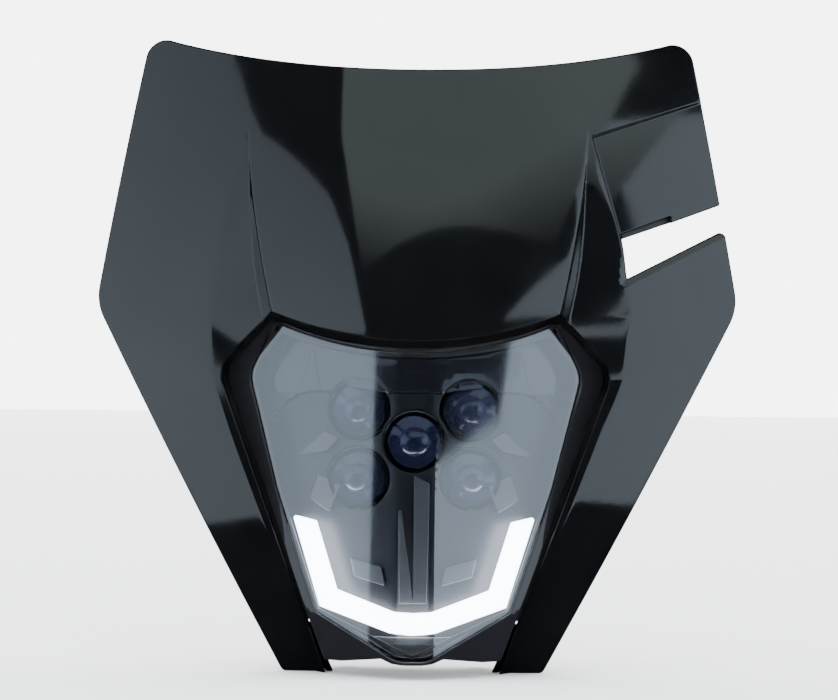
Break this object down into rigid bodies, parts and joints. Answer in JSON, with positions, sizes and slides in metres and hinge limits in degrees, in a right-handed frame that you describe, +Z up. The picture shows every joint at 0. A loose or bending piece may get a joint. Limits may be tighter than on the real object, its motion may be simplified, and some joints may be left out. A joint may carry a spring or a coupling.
{
  "type": "enduro led headlight",
  "caption": "Enduro motorcycle front mask with an aimable LED lamp: projector lenses and a V-shaped daytime light behind a clear lens, held by lower pegs and a bushed top tab.",
  "frame": {"origin": "midway between the two locating pegs under the mask, at half the pegs' length", "axes": "+Z up along the top tab's bore, -Y the way the lamp shines, +X to the right as seen from in front"},
  "size_m": [0.3132, 0.1118, 0.3063],
  "materials": {
    "mask_plastic": "black injection-moulded polypropylene, glossy with a fine orange peel",
    "clip_plastic": "black nylon",
    "bush_plastic": "acetal",
    "frame_plastic": "piano black",
    "clear_lens": "hard-coated clear polycarbonate",
    "housing_plastic": "black glass-filled nylon",
    "bezel_plastic": "dark metallised polycarbonate",
    "light_guide": "opal acrylic, lit",
    "board": "solder mask",
    "emitter": "white ceramic with phosphor",
    "chips": "moulded epoxy",
    "projector_glass": "polished, violet-blue coated",
    "ring_plating": "dark chrome",
    "rubber": "matte",
    "steel": "zinc plated",
    "brass": "turned",
    "aluminium": "black anodised"
  },
  "bodies": {
    "mask": {"mask_shell": "mask_plastic", "hose_clip": "clip_plastic", "pivot_bush_left": "bush_plastic", "pivot_bush_right": "bush_plastic", "top_grommet": "rubber", "top_sleeve": "steel"},
    "lamp": {"lamp_frame": "frame_plastic", "front_lens": "clear_lens", "lens_seal": "rubber", "lamp_housing": "housing_plastic", "inner_bezel": "bezel_plastic", "drl_light_guide": "light_guide", "drl_board": "board", "drl_leds": "emitter", "optic_carrier": "housing_plastic", "pivot_screw_left": "steel", "pivot_screw_right": "steel", "aim_screw": "steel", "aim_washer": "steel", "aim_insert": "brass", "heatsink": "aluminium", "heatsink_screws": "steel", "rear_cover": "housing_plastic", "rear_cover_seal": "rubber", "rear_cover_screws": "steel", "led_board": "board", "led_emitters": "emitter", "driver_board": "board", "driver_parts": "chips", "wire_inlet": "rubber", "breather_cap": "rubber", "projector_lens_upper_left": "projector_glass", "lens_ring_upper_left": "ring_plating", "projector_lens_upper_right": "projector_glass", "lens_ring_upper_right": "ring_plating", "projector_lens_centre": "projector_glass", "lens_ring_centre": "ring_plating", "projector_lens_lower_left": "projector_glass", "lens_ring_lower_left": "ring_plating", "projector_lens_lower_right": "projector_glass", "lens_ring_lower_right": "ring_plating"}
  },
  "joints": [
    {"name": "aim", "type": "hinge", "parent": "mask", "child": "lamp", "pos_m": [0, 0.01, 0.13], "axis": [1, 0, 0], "range_deg": [-2.5, 2.5]}
  ]
}
